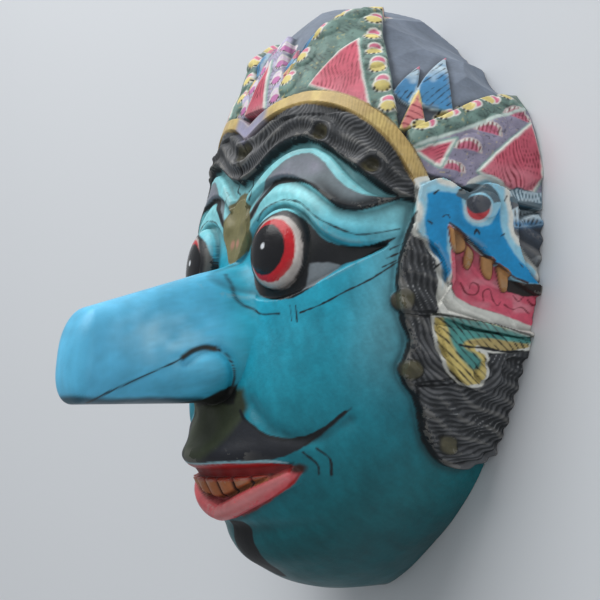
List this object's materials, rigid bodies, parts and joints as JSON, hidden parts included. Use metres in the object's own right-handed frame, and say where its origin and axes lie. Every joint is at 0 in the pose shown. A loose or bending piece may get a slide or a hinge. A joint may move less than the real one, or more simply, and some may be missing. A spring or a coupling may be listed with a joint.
{
  "type": "carved wooden topeng mask",
  "caption": "Painted wooden dance mask with a long drooping nose, bulging eyes, open mouth and carved crown, hollow at the back.",
  "frame": {"origin": "middle of the mask's box on the rim plane, which it lies on", "axes": "+Z out of the face, +Y towards the crown, +X towards the mask's own left side"},
  "size_m": [0.1512, 0.221, 0.1379],
  "materials": {
    "painted_wood": "hand-painted, satin"
  },
  "bodies": {
    "root": {"mask": "painted_wood"}
  },
  "joints": []
}
